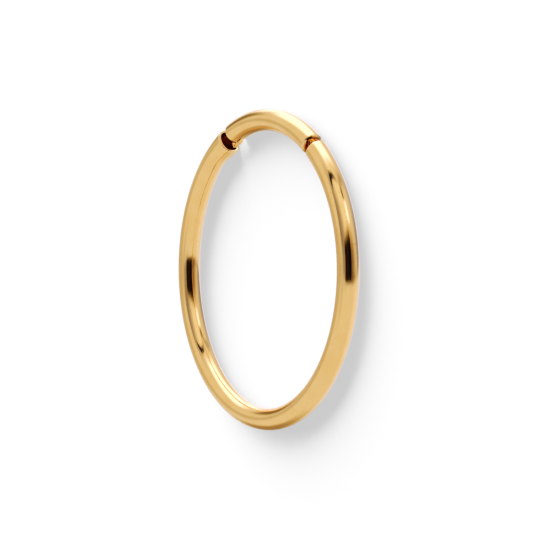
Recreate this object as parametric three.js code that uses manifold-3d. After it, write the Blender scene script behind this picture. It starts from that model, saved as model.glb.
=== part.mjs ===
// A hinged segment nose ring of round gold wire. It lies on its side, with the hoop's axis along +Z.
// Most of the hoop is one piece, the main ring. A short arc, the gate, closes it: one end of the gate turns
// on a cross pin in the main ring, and the other end carries a sprung tongue that faces a cup.
// Lengths are in millimetres and angles in degrees. The gate's middle is on +Y.

import * as THREE from 'three';
import { mergeVertices } from 'three/addons/utils/BufferGeometryUtils.js';
import Module from 'manifold-3d';

const wasm = await Module();
wasm.setup();

// The hoop
const INNER_DIAMETER = 10;
const WIRE_DIAMETER = 0.8;
const GATE_MIDDLE_ANGLE = 90;
const GATE_SPAN_ANGLE = 62.9;          // between the middles of the two joints

// The two joints, measured along the wire
const HINGE_GAP = 0.24;
const LATCH_GAP = 0.5;
const GATE_SHOULDER = 0.12;            // bevel round the gate's hinge end, which lets it swing
const MAIN_EDGE_BREAK = 0.03;          // bevel round the main ring's hinge end
const GATE_TIP_TAPER = 0.03;           // how much the gate thins on its inner side towards the latch
const TAPER_LENGTH = 2.6;

// The hinge, between the two end faces
const PIVOT_OFFSET = 0.2;              // from the wire's centre line, towards the outside of the hoop
const PIN_DIAMETER = 0.13;
const KNUCKLE_DIAMETER = 0.28;
const KNUCKLE_THICKNESS = 0.2;
const NECK_WIDTH = 0.18;
const HINGE_RECESS = 0.06;             // how far the hinge lies below the wire's surface
const PIN_SEAT_CLEARANCE = 0.01;       // radial, pin in the main ring's cheeks
const PIN_RUNNING_CLEARANCE = 0.02;    // radial, pin in the gate's knuckle
const KNUCKLE_SIDE_CLEARANCE = 0.02;   // between knuckle and cheek
const KNUCKLE_TIP_CLEARANCE = 0.03;    // round a knuckle or cheek, in the end face that it turns against
const PIN_END_RECESS = 0.01;           // the pin's ends, below the cheeks' faces

// The latch: a cup in the main ring's end, and a J-shaped tongue on the gate's end
const CUP_WALL = 0.08;
const CUP_DEPTH = 0.9;
const LIP_SWELL = 0.1;                 // how far the cup's rim stands inwards of the wire
const LIP_LENGTH = 1.3;
const LIP_SQUARENESS = 4;              // exponent of the rim's rounded corner, 2 is round
const TONGUE_THICKNESS = 0.08;
const TONGUE_PROUD = 0.07;             // how far its spine stands inwards of the wire
const TONGUE_LOW = -0.24;              // lower edge, from the wire's middle plane
const TONGUE_HIGH = 0.02;              // upper edge
const TONGUE_ROOT = 0.5;               // behind the gate's end face
const TONGUE_REACH = 0.34;             // beyond the gate's end face
const FOOT_RISE = 0.22;                // how far the tongue's foot turns outwards
const TONGUE_BEND = 0.1;               // corner cut at the heel
const SLIT_WIDTH = 0.04;               // saw cut beside the tongue, which lets it spring
const SLIT_LENGTH = 0.38;
const SLIT_DEPTH = 0.14;

// How finely the round forms are cut
const WIRE_SIDES = 20;
const MAIN_STEPS = 74;
const GATE_STEPS = 20;
const ROUND_SIDES = 24;
const CUP_STEPS = 6;
const CUP_SIDES = 16;

// Worked out from the sizes above
const WIRE_RADIUS = WIRE_DIAMETER / 2;
const HOOP_RADIUS = (INNER_DIAMETER + WIRE_DIAMETER) / 2;
const CUT_MARGIN = WIRE_RADIUS / 4;    // how far a cutting tool runs past the face that it cuts
const HINGE_ANGLE = THREE.MathUtils.degToRad(GATE_MIDDLE_ANGLE - GATE_SPAN_ANGLE / 2);
const LATCH_ANGLE = THREE.MathUtils.degToRad(GATE_MIDDLE_ANGLE + GATE_SPAN_ANGLE / 2);
const HALF_HINGE_GAP = HINGE_GAP / 2 / HOOP_RADIUS;
const HALF_LATCH_GAP = LATCH_GAP / 2 / HOOP_RADIUS;
const MAIN_HINGE_END = HINGE_ANGLE - HALF_HINGE_GAP;
const GATE_HINGE_END = HINGE_ANGLE + HALF_HINGE_GAP;
const GATE_LATCH_END = LATCH_ANGLE - HALF_LATCH_GAP;
const MAIN_LATCH_END = LATCH_ANGLE + HALF_LATCH_GAP;

// A polygon round a circle, with a flat side up, down, left and right.
function aroundCircle(radius, sides) {
  const corner = radius / Math.cos(Math.PI / sides);
  const points = [];
  for (let i = 0; i < sides; i += 1) {
    const angle = (i + 0.5) * 2 * Math.PI / sides;
    points.push(new THREE.Vector2(corner * Math.cos(angle), corner * Math.sin(angle)));
  }
  return new THREE.Shape(points);
}

// Part of the hoop's centre line, between two angles.
class HoopArc extends THREE.Curve {
  constructor(from, to) {
    super();
    this.from = from;
    this.to = to;
  }

  getPoint(t, target = new THREE.Vector3()) {
    const angle = THREE.MathUtils.lerp(this.from, this.to, t);
    return target.set(HOOP_RADIUS * Math.cos(angle), HOOP_RADIUS * Math.sin(angle), 0);
  }

  getTangent(t, target = new THREE.Vector3()) {
    const angle = THREE.MathUtils.lerp(this.from, this.to, t);
    return target.set(-Math.sin(angle), Math.cos(angle), 0);
  }
}

// Round wire along part of the hoop.
function wire(from, to, radius, steps, sides) {
  const extrudePath = new HoopArc(from, to);
  return new THREE.ExtrudeGeometry(aroundCircle(radius, sides), { steps, extrudePath });
}

// A place on the hoop's centre line: x points outwards, y round the hoop towards the latch, z up.
function station(angle, x = 0, y = 0, z = 0) {
  return new THREE.Matrix4().makeRotationZ(angle)
    .multiply(new THREE.Matrix4().makeTranslation(HOOP_RADIUS + x, y, z));
}

// 1 at a wire end, falling smoothly to 0 at a distance of reach along the hoop.
function fadeFrom(end, reach, angle) {
  const turn = THREE.MathUtils.euclideanModulo(angle - end + Math.PI, 2 * Math.PI) - Math.PI;
  return THREE.MathUtils.smoothstep(reach - Math.abs(turn) * HOOP_RADIUS, 0, reach);
}

// Reshapes the half of the wire that faces the hoop's middle. change(x, z, angle) gives new x and z.
function reshapeInnerHalf(geometry, change) {
  const position = geometry.attributes.position;
  for (let i = 0; i < position.count; i += 1) {
    const angle = Math.atan2(position.getY(i), position.getX(i));
    const x = Math.hypot(position.getX(i), position.getY(i)) - HOOP_RADIUS;
    if (x < 0) {
      const moved = change(x, position.getZ(i), angle);
      const radius = HOOP_RADIUS + moved.x;
      position.setXYZ(i, radius * Math.cos(angle), radius * Math.sin(angle), moved.z);
    }
  }
  return geometry;
}

// The gate is a little thinner near the latch, on its inner side.
function taperGate(x, z, angle) {
  const fade = fadeFrom(GATE_LATCH_END, TAPER_LENGTH, angle);
  return { x: x * (1 - fade * GATE_TIP_TAPER / WIRE_RADIUS), z };
}

// The cup's rim is pressed inwards, and its lower inner corner is nearly square. It stays off the floor.
function swellLip(x, z, angle) {
  const fade = fadeFrom(MAIN_LATCH_END, LIP_LENGTH, angle);
  const round = Math.hypot(x, z);
  const power = LIP_SQUARENESS;
  const square = z < 0 ? (Math.abs(x / round) ** power + Math.abs(z / round) ** power) ** (-1 / power) : 1;
  const grown = THREE.MathUtils.lerp(1, square, fade);
  return {
    x: x * grown * (1 + fade * LIP_SWELL / WIRE_RADIUS),
    z: Math.max(z * grown, -WIRE_RADIUS),
  };
}

// A closed three.js shape as a solid that can be joined and cut.
function solid(geometry, matrix = new THREE.Matrix4()) {
  geometry.applyMatrix4(matrix);
  geometry.deleteAttribute('normal');
  geometry.deleteAttribute('uv');
  const merged = mergeVertices(geometry);
  const triVerts = new Uint32Array(merged.index.array);
  return new wasm.Manifold(new wasm.Mesh({
    numProp: 3,
    vertProperties: merged.attributes.position.array,
    triVerts,
  }));
}

// A round bar or cone along a station's y, with flats up and down as on the wire.
function drum(matrix, lowRadius, highRadius, low, high, sides) {
  const corner = 1 / Math.cos(Math.PI / sides);
  const geometry = new THREE.CylinderGeometry(
    highRadius * corner, lowRadius * corner, high - low, sides, 1, false, Math.PI / sides,
  );
  geometry.translate(0, (low + high) / 2, 0);
  return solid(geometry, matrix);
}

// A round bar along Z, round a station.
function upright(matrix, radius, low, high) {
  const geometry = new THREE.CylinderGeometry(radius, radius, high - low, ROUND_SIDES);
  geometry.rotateX(Math.PI / 2);
  geometry.translate(0, 0, (low + high) / 2);
  return solid(geometry, matrix);
}

function block(matrix, low, high) {
  const size = new THREE.Vector3().subVectors(high, low);
  const middle = new THREE.Vector3().addVectors(low, high).multiplyScalar(0.5);
  const geometry = new THREE.BoxGeometry(size.x, size.y, size.z);
  geometry.translate(middle.x, middle.y, middle.z);
  return solid(geometry, matrix);
}

// What a 45 degree bevel takes off a wire end. The wire lies on the side given by facing, 1 or -1 along y.
function bevelWaste(angle, facing, size) {
  const matrix = station(angle);
  const nearRadius = WIRE_RADIUS - size - CUT_MARGIN;
  const farRadius = WIRE_RADIUS + CUT_MARGIN;
  const near = -CUT_MARGIN;
  const far = size + CUT_MARGIN;
  const rim = WIRE_RADIUS + CUT_MARGIN / 2;
  if (facing > 0) {
    const collar = drum(matrix, rim, rim, near / 2, far / 2, WIRE_SIDES);
    return collar.subtract(drum(matrix, nearRadius, farRadius, near, far, WIRE_SIDES));
  }
  const collar = drum(matrix, rim, rim, -far / 2, -near / 2, WIRE_SIDES);
  return collar.subtract(drum(matrix, farRadius, nearRadius, -far, -near, WIRE_SIDES));
}

// The hinge: two cheeks on the main ring, one knuckle on the gate between them, all inside the wire's outline
const PIVOT = station(HINGE_ANGLE, PIVOT_OFFSET);
const KNUCKLE_RADIUS = KNUCKLE_DIAMETER / 2;
const KNUCKLE_HALF = KNUCKLE_THICKNESS / 2;
const CHEEK_INNER = KNUCKLE_HALF + KNUCKLE_SIDE_CLEARANCE;
const HINGE_ENVELOPE = WIRE_RADIUS - HINGE_RECESS;
const CHEEK_OUTER = Math.sqrt(HINGE_ENVELOPE ** 2 - PIVOT_OFFSET ** 2);
const NECK_LENGTH = HINGE_GAP / 2 + CUT_MARGIN;

// A round eye about the pivot with a neck to one end face, between two heights.
function eye(towards, low, high) {
  const neck = block(
    PIVOT,
    new THREE.Vector3(-NECK_WIDTH / 2, Math.min(0, towards * NECK_LENGTH), low),
    new THREE.Vector3(NECK_WIDTH / 2, Math.max(0, towards * NECK_LENGTH), high),
  );
  const envelope = drum(
    station(HINGE_ANGLE), HINGE_ENVELOPE, HINGE_ENVELOPE, -HINGE_GAP, HINGE_GAP, WIRE_SIDES,
  );
  return upright(PIVOT, KNUCKLE_RADIUS, low, high).add(neck).intersect(envelope);
}

function sweepRoom(low, high) {
  return upright(PIVOT, KNUCKLE_RADIUS + KNUCKLE_TIP_CLEARANCE, low, high);
}

function pinHole(clearance) {
  return upright(PIVOT, PIN_DIAMETER / 2 + clearance, -WIRE_RADIUS, WIRE_RADIUS);
}

// Main ring: wire, cup at the latch end, cheeks at the hinge end
function makeMainRing() {
  const sweep = wire(MAIN_LATCH_END, MAIN_HINGE_END + 2 * Math.PI, WIRE_RADIUS, MAIN_STEPS, WIRE_SIDES);
  const bore = wire(
    MAIN_LATCH_END - CUT_MARGIN / HOOP_RADIUS,
    MAIN_LATCH_END + CUP_DEPTH / HOOP_RADIUS,
    WIRE_RADIUS - CUP_WALL,
    CUP_STEPS,
    CUP_SIDES,
  );
  const upperCheek = eye(-1, CHEEK_INNER, CHEEK_OUTER);
  const lowerCheek = eye(-1, -CHEEK_OUTER, -CHEEK_INNER);
  return solid(reshapeInnerHalf(sweep, swellLip))
    .subtract(bevelWaste(MAIN_HINGE_END, -1, MAIN_EDGE_BREAK))
    .subtract(solid(reshapeInnerHalf(bore, swellLip)))
    .subtract(sweepRoom(-CHEEK_INNER, CHEEK_INNER))
    .add(upperCheek)
    .add(lowerCheek)
    .subtract(pinHole(PIN_SEAT_CLEARANCE));
}

// The tongue's outline seen along Z, at the gate's latch end: x outwards, y past the end face.
function makeTongue() {
  const spine = -WIRE_RADIUS - TONGUE_PROUD;
  const inside = spine + TONGUE_THICKNESS;
  const root = -WIRE_RADIUS + TONGUE_THICKNESS;
  const outline = new THREE.Shape([
    new THREE.Vector2(-WIRE_RADIUS + GATE_TIP_TAPER, -TONGUE_ROOT),
    new THREE.Vector2(root + GATE_TIP_TAPER, -TONGUE_ROOT),
    new THREE.Vector2(root, 0),
    new THREE.Vector2(inside, TONGUE_THICKNESS),
    new THREE.Vector2(inside, TONGUE_REACH - TONGUE_BEND),
    new THREE.Vector2(spine + FOOT_RISE, TONGUE_REACH - TONGUE_THICKNESS),
    new THREE.Vector2(spine + FOOT_RISE, TONGUE_REACH),
    new THREE.Vector2(spine + TONGUE_BEND, TONGUE_REACH),
    new THREE.Vector2(spine, TONGUE_REACH - TONGUE_BEND),
    new THREE.Vector2(spine, -TONGUE_ROOT / 2),
  ]);
  const geometry = new THREE.ExtrudeGeometry(outline, {
    depth: TONGUE_HIGH - TONGUE_LOW,
    bevelEnabled: false,
  });
  geometry.translate(0, 0, TONGUE_LOW);
  return solid(geometry, station(GATE_LATCH_END));
}

// Gate: wire, bevelled shoulder and knuckle at the hinge end, tongue and saw cut at the latch end
function makeGate() {
  const sweep = wire(GATE_HINGE_END, GATE_LATCH_END, WIRE_RADIUS, GATE_STEPS, WIRE_SIDES);
  const slit = block(
    station(GATE_LATCH_END),
    new THREE.Vector3(-WIRE_RADIUS - CUT_MARGIN, -SLIT_LENGTH, TONGUE_HIGH),
    new THREE.Vector3(-WIRE_RADIUS + SLIT_DEPTH, CUT_MARGIN, TONGUE_HIGH + SLIT_WIDTH),
  );
  return solid(reshapeInnerHalf(sweep, taperGate))
    .subtract(bevelWaste(GATE_HINGE_END, 1, GATE_SHOULDER))
    .subtract(sweepRoom(CHEEK_INNER - KNUCKLE_SIDE_CLEARANCE, WIRE_RADIUS))
    .subtract(sweepRoom(-WIRE_RADIUS, -CHEEK_INNER + KNUCKLE_SIDE_CLEARANCE))
    .add(eye(1, -KNUCKLE_HALF, KNUCKLE_HALF))
    .subtract(pinHole(PIN_RUNNING_CLEARANCE))
    .subtract(slit)
    .add(makeTongue());
}

// Hinge pin: a straight wire pin across the cheeks and the knuckle
function makeHingePin() {
  const half = CHEEK_OUTER - PIN_END_RECESS;
  return upright(PIVOT, PIN_DIAMETER / 2, -half, half);
}

const POLISHED_GOLD = { color: '#e2b46a', metalness: 1, roughness: 0.14 };

function piece(name, body) {
  const { vertProperties, triVerts } = body.getMesh();
  const geometry = new THREE.BufferGeometry();
  geometry.setAttribute('position', new THREE.BufferAttribute(vertProperties, 3));
  geometry.setIndex(new THREE.BufferAttribute(triVerts, 1));
  geometry.computeVertexNormals();
  const mesh = new THREE.Mesh(geometry, new THREE.MeshStandardMaterial(POLISHED_GOLD));
  mesh.name = name;
  return mesh;
}

const noseRing = new THREE.Group();
noseRing.add(piece('main_ring', makeMainRing()));
noseRing.add(piece('gate', makeGate()));
noseRing.add(piece('hinge_pin', makeHingePin()));
noseRing.position.z = WIRE_RADIUS;

export default noseRing;
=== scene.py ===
import bpy
import numpy as np
from mathutils import Matrix, Vector


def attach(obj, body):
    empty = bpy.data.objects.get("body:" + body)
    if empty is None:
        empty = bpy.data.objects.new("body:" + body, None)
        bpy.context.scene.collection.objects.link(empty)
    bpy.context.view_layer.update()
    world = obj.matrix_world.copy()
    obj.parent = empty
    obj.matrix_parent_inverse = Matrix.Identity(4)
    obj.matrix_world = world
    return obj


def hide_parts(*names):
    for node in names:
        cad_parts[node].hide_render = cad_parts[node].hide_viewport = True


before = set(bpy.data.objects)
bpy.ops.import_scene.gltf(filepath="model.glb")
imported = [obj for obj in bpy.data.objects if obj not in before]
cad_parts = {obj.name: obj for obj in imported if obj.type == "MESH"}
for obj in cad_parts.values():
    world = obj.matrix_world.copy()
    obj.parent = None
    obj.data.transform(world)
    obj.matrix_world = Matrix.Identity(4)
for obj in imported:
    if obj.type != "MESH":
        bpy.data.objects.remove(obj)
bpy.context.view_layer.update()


# Main ring
# Round wire of 14 carat gold, drawn, bent round a mandrel and polished. It is most of the hoop. One end is
# drilled out to a thin-walled cup, and the other end is cut square and carries two cheeks for the hinge.

WIRE_RADIUS = 0.4
HOOP_RADIUS = 5.4                      # of the wire's centre line
HINGE_ANGLE = np.radians(58.55)
LATCH_ANGLE = np.radians(121.45)
HINGE_GAP = 0.24
LATCH_GAP = 0.5
MAIN_START = LATCH_ANGLE + LATCH_GAP / 2 / HOOP_RADIUS
MAIN_END = HINGE_ANGLE - HINGE_GAP / 2 / HOOP_RADIUS + 2 * np.pi
EDGE_ROUND = 0.03
CUP_WALL = 0.08
CUP_DEPTH = 0.9
CUP_LIP_ROUND = 0.015
CUP_BORE_ROUND = 0.06
CUP_FLOOR_ROUND = 0.12
CUP_TOP_THICKENING = 0.19              # share by which the bore is lower at its top
CUP_SHADE_START, CUP_SHADE_END = 0.04, 0.7   # depths between which the painted shade in the bore deepens
LIP_SWELL = 0.1
LIP_LENGTH = 1.3
LIP_SQUARENESS = 4
WIRE_SIDES = 96
LONGEST_STEP = 0.085                   # between the mesh's rows along a straight stretch


def rounded(corners, steps=7):
    """Outline through corners (x, y, rounding). Each corner becomes an arc tangent to both of its sides. The
    arc starts rounding / tan(half the angle between the sides) before it. A rounding of 0 keeps a corner."""
    corners = np.array(corners, float)
    points = []
    for before, (x, y, size), after in zip(np.roll(corners, 1, 0), corners, np.roll(corners, -1, 0)):
        corner = np.array([x, y])
        if size == 0:
            points.append(corner[None])
            continue
        one = (before[:2] - corner) / np.hypot(*(before[:2] - corner))
        two = (after[:2] - corner) / np.hypot(*(after[:2] - corner))
        half = np.arccos(np.clip(one @ two, -1, 1)) / 2
        middle = corner + (one + two) / np.hypot(*(one + two)) * size / np.sin(half)
        start = corner + one * size / np.tan(half) - middle
        end = corner + two * size / np.tan(half) - middle
        t = np.linspace(0, 1, steps)[:, None]
        sweep = np.pi - 2 * half
        arc = (np.sin((1 - t) * sweep) * start + np.sin(t * sweep) * end) / np.sin(sweep)
        points.append(middle + arc)
    return np.vstack(points)


def divided(points, longest):
    """The same line with extra points, evenly spaced on each side that is longer than longest."""
    lengths = np.hypot(*np.diff(points, axis=0).T)
    parts = [
        a + (b - a) * np.linspace(0, 1, max(1, int(np.ceil(length / longest))), endpoint=False)[:, None]
        for a, b, length in zip(points[:-1], points[1:], lengths)
    ]
    return np.vstack([*parts, points[-1:]])


def smooth(value, low, high):
    """0 below low, 1 above high, and between them 3 t squared less 2 t cubed."""
    t = np.clip((value - low) / (high - low), 0, 1)
    return t * t * (3 - 2 * t)


def on_hoop(angle, outward, up):
    """Points at an angle round the hoop: the centre line's radius plus outward, times cosine and sine of the
    angle, and up, measured from the wire's middle plane, which is one wire radius above the table."""
    radius = HOOP_RADIUS + outward
    return np.stack([radius * np.cos(angle), radius * np.sin(angle), up + WIRE_RADIUS + 0 * angle], -1)


def mesh_object(name, vertices, faces):
    """An object from vertices in millimetres and arrays of faces, one array for each number of corners."""
    mesh = bpy.data.meshes.new(name)
    corners = np.concatenate([np.ravel(face) for face in faces]).astype(np.int32)
    counts = np.concatenate([np.full(len(face), np.shape(face)[1]) for face in faces])
    mesh.vertices.add(len(vertices))
    mesh.vertices.foreach_set("co", np.ravel(vertices).astype(np.float32))
    mesh.loops.add(len(corners))
    mesh.loops.foreach_set("vertex_index", corners)
    mesh.polygons.add(len(counts))
    mesh.polygons.foreach_set("loop_start", (np.cumsum(counts) - counts).astype(np.int32))
    mesh.update(calc_edges=True)
    mesh.validate()
    made = bpy.data.objects.new(name, mesh)
    bpy.context.scene.collection.objects.link(made)
    return made


def lathed(name, points):
    """A closed surface from a grid whose first index runs along a profile and whose second runs once round.
    The first and last rows are single points, the poles, joined to their neighbours by triangles."""
    rows, columns = points.shape[:2]
    vertices = np.vstack([points[:1, 0], points[1:-1].reshape(-1, 3), points[-1:, 0]])
    here = np.arange(columns)
    there = (here + 1) % columns
    start = 1 + columns * np.arange(rows - 3)[:, None]
    quads = np.stack([start + here, start + columns + here, start + columns + there, start + there], -1)
    last = 1 + columns * (rows - 3)
    first_fan = np.stack([0 * here, 1 + here, 1 + there], -1)
    last_fan = np.stack([0 * here + len(vertices) - 1, last + there, last + here], -1)
    return mesh_object(name, vertices, [quads.reshape(-1, 4), first_fan, last_fan])


def along_wire(name, profile, start, direction, reshape, columns=WIRE_SIDES):
    """Wire whose section radius follows a profile of (distance along the wire, radius). The section is a
    circle of that radius, in the plane across the hoop, reshaped by reshape(outward, up, angle)."""
    angle = (start + direction * profile[:, 0] / HOOP_RADIUS)[:, None]
    turn = np.linspace(0, 2 * np.pi, columns, endpoint=False)[None] * direction
    outward, up = reshape(profile[:, 1:] * np.cos(turn), profile[:, 1:] * np.sin(turn), angle)
    return lathed(name, on_hoop(angle + 0 * turn, outward, up))


def swell_lip(outward, up, angle):
    """The half that faces the hoop's middle is pressed inwards near the cup's rim. Its lower corner follows
    |x| to the 4th plus |z| to the 4th in place of a circle, and it stays above the table. The bore is drawn
    down a little, so the cup's upper wall is thicker."""
    fade = smooth(LIP_LENGTH - np.abs(angle - MAIN_START) * HOOP_RADIUS, 0, LIP_LENGTH)
    size = np.maximum(np.hypot(outward, up), 1e-9)
    power = LIP_SQUARENESS
    square = (np.abs(outward / size) ** power + np.abs(up / size) ** power + 1e-12) ** (-1 / power)
    grown = np.where((up < 0) & (outward < 0), 1 + fade * (square - 1), 1)
    new_outward = np.where(outward < 0, outward * grown * (1 + fade * LIP_SWELL / WIRE_RADIUS), outward)
    in_wall = smooth(WIRE_RADIUS - size, 0, CUP_WALL)
    lowered = np.where(up > 0, 1 - fade * in_wall * CUP_TOP_THICKENING, 1)
    return new_outward, np.maximum(up * grown * lowered, -WIRE_RADIUS)


def combine(piece, other, operation):
    """Joins, cuts or intersects two closed meshes, and drops the second."""
    step = piece.modifiers.new(operation, "BOOLEAN")
    step.operation, step.solver, step.object = operation, "EXACT", other
    finished = bpy.data.meshes.new_from_object(piece.evaluated_get(bpy.context.evaluated_depsgraph_get()))
    piece.modifiers.clear()
    spent = piece.data
    piece.data = finished
    bpy.data.meshes.remove(spent)
    bpy.data.objects.remove(other)


def prism(name, outline, low, high, angle, across=0.0):
    """An outline of (outward, along) at one place on the hoop, carried up from low to high."""
    outward, along = outline.T
    radial, ring = np.array([np.cos(angle), np.sin(angle), 0]), np.array([-np.sin(angle), np.cos(angle), 0])
    flat = (HOOP_RADIUS + across + outward)[:, None] * radial + along[:, None] * ring
    levels = np.array([low, high]) + WIRE_RADIUS
    vertices = (flat[None] + levels[:, None, None] * np.array([0, 0, 1])).reshape(-1, 3)
    here = np.arange(len(outline))
    there = (here + 1) % len(outline)
    sides = np.stack([here, there, there + len(outline), here + len(outline)], -1)
    return mesh_object(name, vertices, [sides, here[None, ::-1], here[None] + len(outline)])


PIVOT_OFFSET = 0.2
PIN_RADIUS = 0.065
KNUCKLE_RADIUS = 0.14
KNUCKLE_HALF = 0.1
CHEEK_INNER = 0.12
HINGE_ENVELOPE = 0.34
CHEEK_OUTER = np.sqrt(HINGE_ENVELOPE ** 2 - PIVOT_OFFSET ** 2)
NECK_HALF = 0.09
NECK_LENGTH = 0.22
SWEEP_RADIUS = 0.17
PIN_SEAT_RADIUS = 0.075
PIN_RUNNING_RADIUS = 0.085
ENVELOPE_HALF = 0.3
ENVELOPE_SIDES = 64
PIN_SIDES = 48
CUT_PAST = 0.1                         # how far a cut goes on beyond the surface


def round_outline(radius, sides=PIN_SIDES):
    """A circle: radius times the cosine and sine of the angle."""
    turn = np.linspace(0, 2 * np.pi, sides, endpoint=False)
    return radius * np.stack([np.cos(turn), np.sin(turn)], -1)


def envelope(name):
    """A drum along the wire at the hinge, inside which the cheeks and the knuckle stay."""
    ends = np.array([-1, -1, 1, 1]) * ENVELOPE_HALF
    profile = np.stack([ends, np.array([0, 1, 1, 0]) * HINGE_ENVELOPE], -1)
    turn = np.linspace(0, 2 * np.pi, ENVELOPE_SIDES, endpoint=False)
    flat = profile[:, 1:] * np.stack([np.cos(turn), np.sin(turn)])[:, None]
    radial = np.array([np.cos(HINGE_ANGLE), np.sin(HINGE_ANGLE), 0])
    ring = np.array([-np.sin(HINGE_ANGLE), np.cos(HINGE_ANGLE), 0])
    points = (
        (HOOP_RADIUS + flat[0])[..., None] * radial
        + (profile[:, :1] + 0 * flat[0])[..., None] * ring
        + (flat[1] + WIRE_RADIUS)[..., None] * np.array([0, 0, 1])
    )
    return lathed(name, points)


def hinge_eye(name, towards, low, high):
    """A round eye about the pin with a neck to one end face, between two heights and inside the envelope."""
    eye = prism(name, round_outline(KNUCKLE_RADIUS), low, high, HINGE_ANGLE, PIVOT_OFFSET)
    sides = np.array([[-1, 0], [1, 0], [1, 1], [-1, 1]]) * [NECK_HALF, NECK_LENGTH]
    sides = sides if towards > 0 else sides[::-1] * [1, -1]
    neck = prism("neck", sides, low, high, HINGE_ANGLE, PIVOT_OFFSET)
    combine(eye, neck, "UNION")
    combine(eye, envelope("envelope"), "INTERSECT")
    return eye


def upright_bar(name, radius, low, high):
    """A round bar along the hinge's axis, between two heights."""
    return prism(name, round_outline(radius), low, high, HINGE_ANGLE, PIVOT_OFFSET)


def finish_mesh(piece, sharp=38):
    """Millimetres to metres, smooth shading, and a crease where two faces meet more steeply than sharp."""
    piece.data.transform(Matrix.Scale(0.001, 4))
    piece.data.shade_smooth()
    piece.data.set_sharp_from_angle(angle=np.radians(sharp))
    piece.data.update()


main_length = (MAIN_END - MAIN_START) * HOOP_RADIUS
main_profile = rounded([
    (main_length, 0, 0),
    (main_length, WIRE_RADIUS, EDGE_ROUND),
    (0, WIRE_RADIUS, CUP_LIP_ROUND),
    (0, WIRE_RADIUS - CUP_WALL, CUP_BORE_ROUND),
    (CUP_DEPTH, WIRE_RADIUS - CUP_WALL, CUP_FLOOR_ROUND),
    (CUP_DEPTH, 0, 0),
])
main_profile = divided(main_profile, LONGEST_STEP)
main_ring = along_wire("main_ring_polished", main_profile, MAIN_START, 1, swell_lip)
along, radius = main_profile.T
# Painted shade in the cup's bore: a share for each row of points, rising from the mouth inwards, stored on
# the points
in_cup = (radius < WIRE_RADIUS - CUP_WALL / 2) & (along < main_length / 2)
cup_shade_share = in_cup * smooth(along, CUP_SHADE_START, CUP_SHADE_END)
cup_shade_share = np.concatenate([cup_shade_share[:1], np.repeat(cup_shade_share[1:-1], WIRE_SIDES), cup_shade_share[-1:]])
main_ring.data.attributes.new("cup_painted_shade", "FLOAT", "POINT").data.foreach_set("value", cup_shade_share)
combine(main_ring, upright_bar("knuckle_room", SWEEP_RADIUS, -CHEEK_INNER, CHEEK_INNER), "DIFFERENCE")
combine(main_ring, hinge_eye("upper_cheek", -1, CHEEK_INNER, CHEEK_OUTER), "UNION")
combine(main_ring, hinge_eye("lower_cheek", -1, -CHEEK_OUTER, -CHEEK_INNER), "UNION")
combine(main_ring, upright_bar("pin_seat", PIN_SEAT_RADIUS, -WIRE_RADIUS, WIRE_RADIUS), "DIFFERENCE")
finish_mesh(main_ring)


class Output:
    """An output socket of a shader node. Python's operators on it add Math nodes."""

    def __init__(self, tree, socket=None):
        self.tree, self.socket = tree, socket

    def node(self, kind, settings=(), inputs=(), output=0):
        """Adds a node of any kind: first its settings, then its sockets' values or links. Gives an output."""
        made = self.tree.nodes.new(kind)
        for name, value in dict(settings).items():
            setattr(made, name, value)
        for name, value in dict(inputs).items():
            if isinstance(value, Output):
                self.tree.links.new(value.socket, made.inputs[name])
            else:
                made.inputs[name].default_value = value
        return Output(self.tree, None if output is None else made.outputs[output])

    def math(self, operation, *values):
        return self.node("ShaderNodeMath", {"operation": operation}, enumerate(values))

    def __add__(self, other):
        return self.math("ADD", self, other)

    def __radd__(self, other):
        return self.math("ADD", other, self)

    def __sub__(self, other):
        return self.math("SUBTRACT", self, other)

    def __rsub__(self, other):
        return self.math("SUBTRACT", other, self)

    def __mul__(self, other):
        return self.math("MULTIPLY", self, other)

    def __rmul__(self, other):
        return self.math("MULTIPLY", other, self)

    def __truediv__(self, other):
        return self.math("DIVIDE", self, other)

    def step(self, low, high):
        """0 below low and 1 above high, eased between them. With low above high it falls."""
        settings = {"interpolation_type": "SMOOTHSTEP"}
        if low > high:
            return 1 - self.step(high, low)
        return self.node("ShaderNodeMapRange", settings, {"Value": self, "From Min": low, "From Max": high})

    def band(self, low, high, ease):
        """1 between low and high, eased to 0 on both sides."""
        return self.step(low - ease, low + ease) * self.step(high + ease, high - ease)

    def mix(self, one, two):
        """Colour one where this value is 0, and two where it is 1."""
        return self.node("ShaderNodeMix", {"data_type": "RGBA"}, {0: self, 6: one, 7: two}, 2)


GOLD = (0.93, 0.605, 0.27, 1)
PALER_GOLD = (0.945, 0.635, 0.295, 1)
# Paler gold of the painted highlight on the joints' edges
EDGE_HIGHLIGHT_GOLD = (0.98, 0.78, 0.46, 1)
SPECK_BROWN = (0.82, 0.45, 0.15, 1)
# Browns of the painted shade in the hinge's gap and in the cup
HINGE_GAP_SHADE = (0.48, 0.17, 0.02, 1)
CUP_SHADE_BROWN = (0.60, 0.33, 0.09, 1)
CLOUD_SCALE, SPECK_SCALE, GRAIN_SCALE = 1500, 6500, 14000   # per metre
POLISH_RELIEF = 1.2e-6                 # metres, the depth of the unevenness


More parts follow.
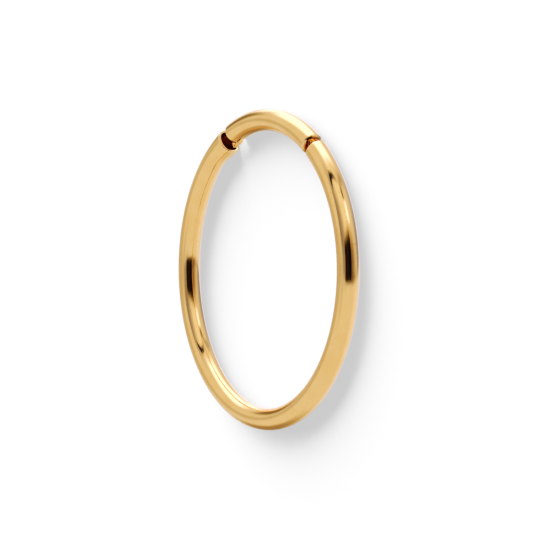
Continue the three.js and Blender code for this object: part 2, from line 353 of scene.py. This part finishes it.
def gold_finish(name, base_roughness):
    """Polished 14 carat gold. Hairlines run with the wire, the polish is a little uneven and specked, and a
    painted highlight makes the joints' edges paler. Painted shade makes the hinge's gap and the cup brown."""
    material = bpy.data.materials.new(name)
    material.use_nodes = True
    tree = material.node_tree
    tree.nodes.clear()
    start = Output(tree)
    place = start.node("ShaderNodeTexCoord", output="Object")
    x, y, z = (place.node("ShaderNodeSeparateXYZ", (), {0: place}, axis) for axis in range(3))
    hoop = place.math("SQRT", x * x + y * y)
    outward = (hoop - HOOP_RADIUS * 0.001) * 1000
    up = (z - WIRE_RADIUS * 0.001) * 1000
    depth = WIRE_RADIUS - place.math("SQRT", outward * outward + up * up)
    angle = place.math("ARCTAN2", x, y)
    round_section = place.math("ARCTAN2", up, outward)
    flow = place.node("ShaderNodeCombineXYZ", (), {0: angle * 3.2, 1: round_section * 26, 2: depth * 4})
    noise = "ShaderNodeTexNoise"
    lines = place.node(noise, (), {"Vector": flow, "Scale": 2.4, "Detail": 3, "Roughness": 0.6})
    cloud = place.node(noise, (), {"Vector": place, "Scale": CLOUD_SCALE, "Detail": 2})
    grain = place.node(noise, (), {"Vector": place, "Scale": GRAIN_SCALE, "Detail": 1})
    specks = place.node(noise, (), {"Vector": place, "Scale": SPECK_SCALE, "Detail": 2}).step(0.62, 0.72)
    hinge_side = place.math("ABSOLUTE", angle - (np.pi / 2 - HINGE_ANGLE)) * HOOP_RADIUS
    latch_side = place.math("ABSOLUTE", angle - (np.pi / 2 - LATCH_ANGLE)) * HOOP_RADIUS
    # Painted shade on the hinge's parts in the gap, below the wire's surface
    gap_painted_shade = hinge_side.step(HINGE_GAP / 2 + 0.1, HINGE_GAP / 2 - 0.02) * depth.step(0.0, 0.07)
    # Painted shade deep in the cup, from the share stored on the points
    cup_painted_shade = place.node("ShaderNodeAttribute", {"attribute_name": "cup_painted_shade"}, (), "Fac")
    # Painted highlight: a band near the wire's surface at the end faces beside both gaps, made paler
    edge_highlight = place.math(
        "MAXIMUM",
        hinge_side.band(HINGE_GAP / 2 - 0.01, HINGE_GAP / 2 + 0.06, 0.02),
        latch_side.band(LATCH_GAP / 2 - 0.01, LATCH_GAP / 2 + 0.05, 0.02),
    ) * depth.step(0.08, 0.03)
    even = cloud.step(0.3, 0.7).mix(GOLD, PALER_GOLD)
    specked = (specks * 0.3).mix(even, SPECK_BROWN)
    highlighted = (edge_highlight * 0.6).mix(specked, EDGE_HIGHLIGHT_GOLD)
    colour = gap_painted_shade.mix(highlighted, HINGE_GAP_SHADE)
    colour = cup_painted_shade.mix(colour, CUP_SHADE_BROWN)
    hairline = lines.step(0.58, 0.74)
    roughness = base_roughness + cloud * 0.05 + hairline * 0.05 + specks * 0.05
    roughness = roughness + edge_highlight * 0.06 + gap_painted_shade * 0.2 + cup_painted_shade * 0.35
    height = lines * 0.35 + cloud * 1.2 + grain * 0.08
    bump = place.node("ShaderNodeBump", (), {"Strength": 1.0, "Distance": POLISH_RELIEF, "Height": height})
    shader = place.node(
        "ShaderNodeBsdfPrincipled", (),
        {"Base Color": colour, "Metallic": 1.0, "Roughness": roughness, "Normal": bump},
    )
    place.node("ShaderNodeOutputMaterial", (), {"Surface": shader}, None)
    return material


polished_gold = gold_finish("polished_gold", 0.055)
main_ring.data.materials.append(polished_gold)
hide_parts("main_ring")
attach(main_ring, "ring")


# Gate
# A short arc of the same wire that closes the hoop. Its hinge end has a bevelled shoulder and a knuckle
# between the cheeks. Its other end has a thin sprung tongue, hooked at the tip, which is freed by a saw cut.

GATE_START = HINGE_ANGLE + HINGE_GAP / 2 / HOOP_RADIUS
GATE_END = LATCH_ANGLE - LATCH_GAP / 2 / HOOP_RADIUS
GATE_SHOULDER = 0.09
GATE_SHOULDER_ROUND = 0.08
GATE_FACE_ROUND = 0.02
GATE_TIP_TAPER = 0.03
TAPER_LENGTH = 2.6
TONGUE_THICKNESS = 0.08
TONGUE_SPINE = -0.47
TONGUE_LOW = -0.12
TONGUE_HIGH = 0.02
TONGUE_ROOT = 0.36
TONGUE_REACH = 0.34
FOOT_RISE = 0.22
TONGUE_BEND = 0.1
SLIT_WIDTH = 0.04
SLIT_LENGTH = 0.38
SLIT_DEPTH = 0.14
TONGUE_EDGE = 0.012


def taper_gate(outward, up, angle):
    """The inner half thins towards the latch, by the same share all over the section."""
    fade = smooth(TAPER_LENGTH - np.abs(GATE_END - angle) * HOOP_RADIUS, 0, TAPER_LENGTH)
    return np.where(outward < 0, outward * (1 - fade * GATE_TIP_TAPER / WIRE_RADIUS), outward), up


gate_length = (GATE_END - GATE_START) * HOOP_RADIUS
gate_profile = rounded([
    (gate_length, 0, 0),
    (gate_length, WIRE_RADIUS, EDGE_ROUND),
    (GATE_SHOULDER, WIRE_RADIUS, GATE_SHOULDER_ROUND),
    (0, WIRE_RADIUS - GATE_SHOULDER, GATE_FACE_ROUND),
    (0, 0, 0),
])
gate = along_wire("gate_polished", divided(gate_profile, LONGEST_STEP), GATE_START, 1, taper_gate)
above = WIRE_RADIUS + CUT_PAST
combine(gate, upright_bar("upper_room", SWEEP_RADIUS, KNUCKLE_HALF, above), "DIFFERENCE")
combine(gate, upright_bar("lower_room", SWEEP_RADIUS, -above, -KNUCKLE_HALF), "DIFFERENCE")
combine(gate, hinge_eye("knuckle", 1, -KNUCKLE_HALF, KNUCKLE_HALF), "UNION")
combine(gate, upright_bar("pin_hole", PIN_RUNNING_RADIUS, -above, above), "DIFFERENCE")

slit_outline = np.array([
    [-above, -SLIT_LENGTH], [SLIT_DEPTH - WIRE_RADIUS, -SLIT_LENGTH],
    [SLIT_DEPTH - WIRE_RADIUS, CUT_PAST], [-above, CUT_PAST],
])
combine(gate, prism("slit", slit_outline, TONGUE_HIGH, TONGUE_HIGH + SLIT_WIDTH, GATE_END), "DIFFERENCE")

inside = TONGUE_SPINE + TONGUE_THICKNESS
root = TONGUE_THICKNESS - WIRE_RADIUS
tongue_outline = rounded([
    (GATE_TIP_TAPER - WIRE_RADIUS, -TONGUE_ROOT, 0),
    (root + GATE_TIP_TAPER, -TONGUE_ROOT, 0),
    (root, 0, 0),
    (inside, TONGUE_THICKNESS, 0.05),
    (inside, TONGUE_REACH - TONGUE_BEND, 0.03),
    (TONGUE_SPINE + FOOT_RISE, TONGUE_REACH - TONGUE_THICKNESS, 0.02),
    (TONGUE_SPINE + FOOT_RISE, TONGUE_REACH, 0.02),
    (TONGUE_SPINE + TONGUE_BEND, TONGUE_REACH, 0.06),
    (TONGUE_SPINE, TONGUE_REACH - TONGUE_BEND, 0.06),
    (TONGUE_SPINE, -TONGUE_ROOT / 2, 0.1),
], 5)
tongue = prism("tongue", tongue_outline, TONGUE_LOW, TONGUE_HIGH, GATE_END)
soften = tongue.modifiers.new("soften", "BEVEL")
soften.width, soften.segments, soften.limit_method = TONGUE_EDGE, 2, "ANGLE"
soften.angle_limit = np.radians(60)
combine(gate, tongue, "UNION")
finish_mesh(gate)
gate.data.materials.append(polished_gold)
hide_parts("gate")
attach(gate, "gate")


# Hinge pin
# A short length of thin gold wire, pressed through the cheeks and filed just below their faces.

PIN_END_RECESS = 0.01
PIN_END_ROUND = 0.02
pin_half = CHEEK_OUTER - PIN_END_RECESS
pin_profile = rounded([
    (pin_half, 0, 0),
    (pin_half, PIN_RADIUS, PIN_END_ROUND),
    (-pin_half, PIN_RADIUS, PIN_END_ROUND),
    (-pin_half, 0, 0),
], 5)
pin_turn = np.linspace(0, 2 * np.pi, PIN_SIDES, endpoint=False)[None]
pin_centre = on_hoop(np.array(HINGE_ANGLE), PIVOT_OFFSET, np.array(0.0))
pin_points = pin_centre + np.stack([
    pin_profile[:, 1:] * np.cos(pin_turn),
    pin_profile[:, 1:] * np.sin(pin_turn),
    pin_profile[:, :1] + 0 * pin_turn,
], -1)
hinge_pin = lathed("hinge_pin_drawn", pin_points)
finish_mesh(hinge_pin)
drawn_gold = gold_finish("drawn_gold", 0.16)
hinge_pin.data.materials.append(drawn_gold)
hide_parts("hinge_pin")
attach(hinge_pin, "ring")


# Table
# A large matt pale board. The polished metal's own glints on it are left out, so that it stays plain.

TABLE_HALF = 1.5                       # metres
TABLE_TONE = 0.57

table_mesh = bpy.data.meshes.new("table")
table_corners = np.array([[-1, -1, 0], [1, -1, 0], [1, 1, 0], [-1, 1, 0]]) * TABLE_HALF
table_mesh.from_pydata(table_corners.tolist(), [], [(0, 1, 2, 3)])
table = bpy.data.objects.new("table", table_mesh)
bpy.context.scene.collection.objects.link(table)
board = bpy.data.materials.new("pale_board")
board.use_nodes = True
board_shader = board.node_tree.nodes["Principled BSDF"]
board_shader.inputs["Base Color"].default_value = (TABLE_TONE, TABLE_TONE, TABLE_TONE, 1)
board_shader.inputs["Roughness"].default_value = 0.9
board_shader.inputs["Specular IOR Level"].default_value = 0.0
table_mesh.materials.append(board)
table.visible_glossy = False
for piece in (main_ring, gate, hinge_pin):
    piece.visible_diffuse = False


# Studio
# Pale walls, a bright window, a dark curtain and a few narrow cards, which the polished metal mirrors.
# Places are in degrees: bearing round the hoop's axis from the camera's side, and height above the table.

CAMERA_TURN = 6.0                      # bearing of the camera from +X
studio = bpy.data.worlds.new("studio")
bpy.context.scene.world = studio
studio.use_nodes = True
studio.node_tree.nodes.clear()
air = Output(studio.node_tree)
sight = air.node("ShaderNodeTexCoord", output="Generated")
sx, sy, sz = (air.node("ShaderNodeSeparateXYZ", (), {0: sight}, axis) for axis in range(3))
bearing = air.math("WRAP", air.math("ARCTAN2", sy, sx) * (180 / np.pi) - CAMERA_TURN, 180.0, -180.0)
height = air.math("ARCSINE", sz) * (180 / np.pi)

# Walls, and what dims them: the ceiling, a corner, the near ground and the curtain's hem
WALL_LIGHT = 0.825
ceiling = height.step(66, 88)
dim_corner = bearing.band(-14, 100, 10) * height.step(32, 68) * height.step(90, 75)
near_ground = bearing.band(-8, 166, 14) * height.step(-38, -84)
hem = bearing.step(-11, -8) * bearing.step(33, 8) * height.step(-64, -4) * height.step(30, 10)
walls = WALL_LIGHT
for area, share in ((ceiling, 0.22), (dim_corner, 0.52), (near_ground, 0.5), (hem, 0.64)):
    walls = walls * (1 - share * area)

# Paler, darker and cooler ground, the window of two panes, the glows beside it, and a small lamp
pale_ground = (1 - bearing.band(-14, 170, 20)) * height.step(-26, -54)
edge_ground = (1 - bearing.band(-112, 150, 25)) * height.step(-30, -58)
low_ground = height.step(-36, -60)
high_pane = bearing.band(78, 135, 8) * height.band(-27, 24, 9)
low_pane = 0.7 * bearing.band(112, 149, 6) * height.band(-24, 1, 6)
window = air.math("MAXIMUM", high_pane, low_pane)
glow = bearing.band(30, 72, 6) * height.band(-2, 34, 8)
far_glow = (1 - bearing.band(-176, 140, 6)) * height.band(-58, -18, 8)
small_lamp = bearing.band(31, 47, 3) * height.band(-24, -4, 4)
AREA_LIGHTS = (                        # area, light that it adds, and its extra blue
    (pale_ground, 0.1, 0), (edge_ground, -0.1, 0.15), (low_ground, 0, 0.17), (window, 0.85, 0.68),
    (glow, 0.13, 0), (far_glow, 0.3, 0.2), (small_lamp, 0.6, 0.5),
)
bright = walls
cool = 0.07
for area, light, extra_blue in AREA_LIGHTS:
    bright = bright + light * area
    cool = cool + extra_blue * area

# Dark curtain with its seam, and the narrow cards
curtain = (bearing + height * 0.06).step(-9.5, -6.5) * bearing.step(30, 17) * height.band(0, 60, 3)
seam = bearing.band(-9, -3, 2) * height.step(0, -8)
leaning = bearing - height * 0.3
lean_width = leaning.band(58, 63.5, 1.5) + leaning.band(63.5, 66.5, 1.5) * height.step(30, 38)
lean_card = lean_width * height.band(0, 52, 4) * (0.45 + 0.55 * height.step(4, 22))
lean_foot = bearing.band(46, 54, 3) * height.band(-17, -5, 3)
low_card = (bearing + height * 0.62).band(42, 52, 5) * height.band(-52, -8, 8)
far_card = bearing.band(149, 168, 6) * height.band(-1, 20, 7)
brown_card = bearing.step(-104, -138) * bearing.step(-166, -150) * height.band(-28, 8, 11)
far_corner = (1 - bearing.band(-172, 171, 10)) * height.band(-42, 76, 12)
amber_card = bearing.band(-176, -146, 6) * height.band(-40, -20, 6)
CARDS = (                              # card, share of the light that it takes, and its warmth
    (curtain, 0.93, 0.8), (seam, 0.22, 0), (lean_card, 0.95, 0), (low_card, 0.35, 0), (lean_foot, 0.7, 0),
    (far_card, 0.62, 0.5), (brown_card, 0.5, 0.7), (far_corner, 0.24, 0.1), (amber_card, 0.3, 0.8),
)
shade = 1
warm = 0.8 * hem
for card, share, warmth in CARDS:
    shade = shade * (1 - share * card)
    warm = warm + warmth * card

mirrored = air.node("ShaderNodeLightPath", output="Is Glossy Ray")
red = bright * shade
green = (bright + 0.15 * cool) * shade / (1 + 0.25 * warm)
blue = (bright + cool) * shade / (1 + warm)
colour = air.node("ShaderNodeCombineColor", (), {
    0: 1 + mirrored * (red - 1), 1: 1 + mirrored * (green - 1), 2: 1 + mirrored * (blue - 1),
})
background = air.node("ShaderNodeBackground", (), {"Color": colour, "Strength": 1.0})
air.node("ShaderNodeOutputWorld", (), {"Surface": background}, None)
studio.cycles.sampling_method = "NONE"


def soft_lamp(name, energy, spread, towards):
    """A far lamp of a given spread in degrees, in the direction towards. The metal doesn't mirror it."""
    data = bpy.data.lights.new(name, "SUN")
    data.energy, data.angle = energy, np.radians(spread)
    made = bpy.data.objects.new(name, data)
    bpy.context.scene.collection.objects.link(made)
    made.rotation_euler = Vector(towards).to_track_quat("Z", "Y").to_euler()
    made.visible_glossy = False
    return made


LAMP_BEARING = 137                     # degrees from +X
LAMP_SPREAD = 46
LAMP_ENERGY = 1.967
LAMP_ACROSS, LAMP_UP = 0.764, 0.35
LAMPS_ASIDE = (-24, 0, 24)
for aside in LAMPS_ASIDE:
    place = np.radians(LAMP_BEARING + aside)
    towards = (LAMP_ACROSS * np.cos(place), LAMP_ACROSS * np.sin(place), LAMP_UP)
    soft_lamp("key_lamp", LAMP_ENERGY, LAMP_SPREAD, towards)


# Camera
# It stands a little over the table, on which the hoop lies, and is turned so that the gate is on top.

CAMERA_DISTANCE = 0.11696              # metres
CAMERA_ELEVATION = np.radians(32.02)
CAMERA_ROLL = np.radians(-90.27)
LENS_LENGTH, FILM_WIDTH = 216.2, 36
SHIFT_ACROSS, SHIFT_UP = 0.0082, -0.0013
TONE_CURVE = ((0.05, 0.014), (0.12, 0.06), (0.2, 0.14), (0.32, 0.285), (0.45, 0.445))
turn = np.radians(CAMERA_TURN)
back = np.array([
    np.cos(CAMERA_ELEVATION) * np.cos(turn),
    np.cos(CAMERA_ELEVATION) * np.sin(turn),
    np.sin(CAMERA_ELEVATION),
])
level = np.cross(-back, [0, 0, 1])
level /= np.linalg.norm(level)
rise = np.cross(level, -back)
right = np.cos(CAMERA_ROLL) * level + np.sin(CAMERA_ROLL) * rise
top = np.cos(CAMERA_ROLL) * rise - np.sin(CAMERA_ROLL) * level
lens = bpy.data.cameras.new("camera")
lens.sensor_width = FILM_WIDTH
lens.lens = LENS_LENGTH
lens.shift_x = SHIFT_ACROSS
lens.shift_y = SHIFT_UP
lens.clip_start, lens.clip_end = 0.005, 10
camera = bpy.data.objects.new("camera", lens)
bpy.context.scene.collection.objects.link(camera)
pose = Matrix(np.column_stack([right, top, back]).tolist()).to_4x4()
pose.translation = Vector(back * CAMERA_DISTANCE) + Vector((0, 0, WIRE_RADIUS * 0.001))
camera.matrix_world = pose
bpy.context.scene.camera = camera

look = bpy.context.scene.view_settings
look.view_transform = "Standard"
look.use_curve_mapping = True
tone = look.curve_mapping.curves[3].points
for dark, shown in TONE_CURVE:
    tone.new(dark, shown)
look.curve_mapping.update()
